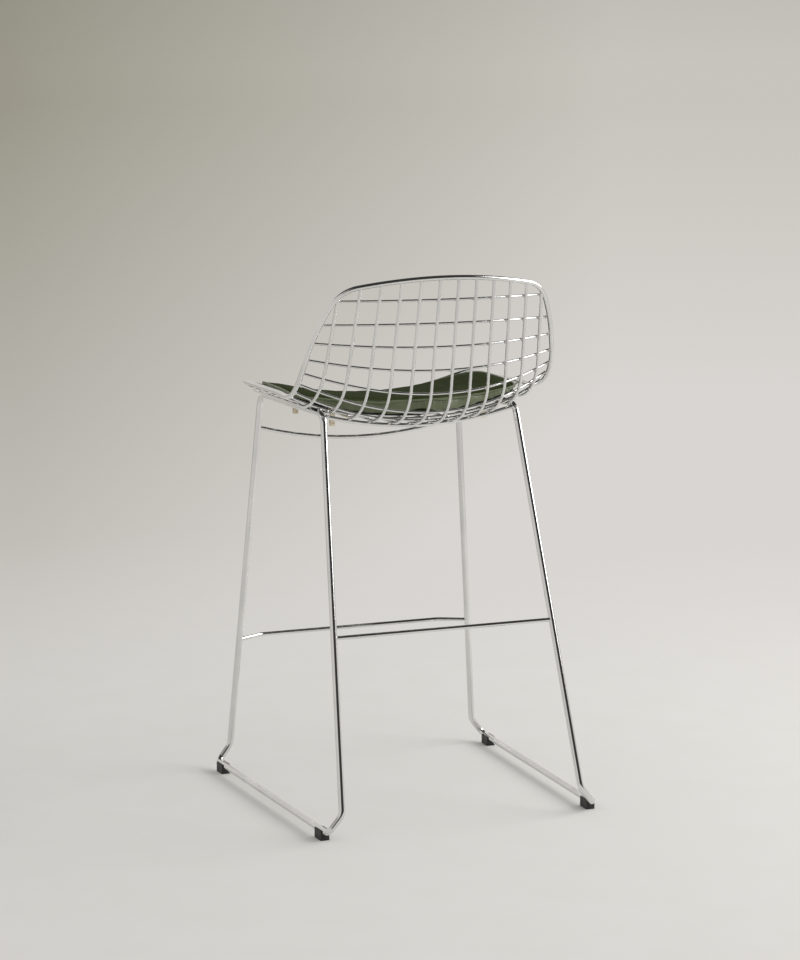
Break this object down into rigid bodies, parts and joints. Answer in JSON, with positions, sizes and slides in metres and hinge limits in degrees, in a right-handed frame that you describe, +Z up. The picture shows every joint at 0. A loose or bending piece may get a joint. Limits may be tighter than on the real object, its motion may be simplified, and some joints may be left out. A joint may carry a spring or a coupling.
{
  "type": "wire counter stool",
  "caption": "Chromed wire stool: welded wire basket seat with a bent rim on two rod side frames, a footrest bar and a clip-on dished seat pad.",
  "frame": {"origin": "on the floor, midway between the two runners and midway between the front and rear glides", "axes": "+Z up; the sitter faces -Y; +X is the sitter's left"},
  "size_m": [0.5232, 0.5127, 0.8904],
  "materials": {
    "chrome_rod": "polished chrome plate",
    "glide_plastic": "moulded, matte",
    "pad_cover": "semi-gloss leather-grain cover",
    "pad_board": "moulded board",
    "clip_plastic": "moulded, satin"
  },
  "bodies": {
    "stool": {"cross_wire_01": "chrome_rod", "cross_wire_02": "chrome_rod", "cross_wire_03": "chrome_rod", "cross_wire_04": "chrome_rod", "cross_wire_05": "chrome_rod", "cross_wire_06": "chrome_rod", "cross_wire_07": "chrome_rod", "cross_wire_08": "chrome_rod", "cross_wire_09": "chrome_rod", "cross_wire_10": "chrome_rod", "cross_wire_11": "chrome_rod", "cross_wire_12": "chrome_rod", "cross_wire_13": "chrome_rod", "cross_wire_14": "chrome_rod", "footrest": "chrome_rod", "front_seat_bar": "chrome_rod", "glide_front_left": "glide_plastic", "glide_front_right": "glide_plastic", "glide_rear_left": "glide_plastic", "glide_rear_right": "glide_plastic", "long_wire_left_1": "chrome_rod", "long_wire_left_2": "chrome_rod", "long_wire_left_3": "chrome_rod", "long_wire_left_4": "chrome_rod", "long_wire_left_5": "chrome_rod", "long_wire_left_6": "chrome_rod", "long_wire_right_1": "chrome_rod", "long_wire_right_2": "chrome_rod", "long_wire_right_3": "chrome_rod", "long_wire_right_4": "chrome_rod", "long_wire_right_5": "chrome_rod", "long_wire_right_6": "chrome_rod", "rear_seat_bar": "chrome_rod", "rear_stretcher": "chrome_rod", "rim": "chrome_rod", "side_frame_left": "chrome_rod", "side_frame_right": "chrome_rod"},
    "pad": {"pad_base": "pad_board", "pad_clip_front_left": "clip_plastic", "pad_clip_front_right": "clip_plastic", "pad_clip_rear_left": "clip_plastic", "pad_clip_rear_right": "clip_plastic", "pad_cushion": "pad_cover"}
  },
  "joints": [
    {"name": "pad_lift", "type": "slide", "parent": "stool", "child": "pad", "axis": [0, 0, 1], "range_m": [0, 0.1]}
  ]
}
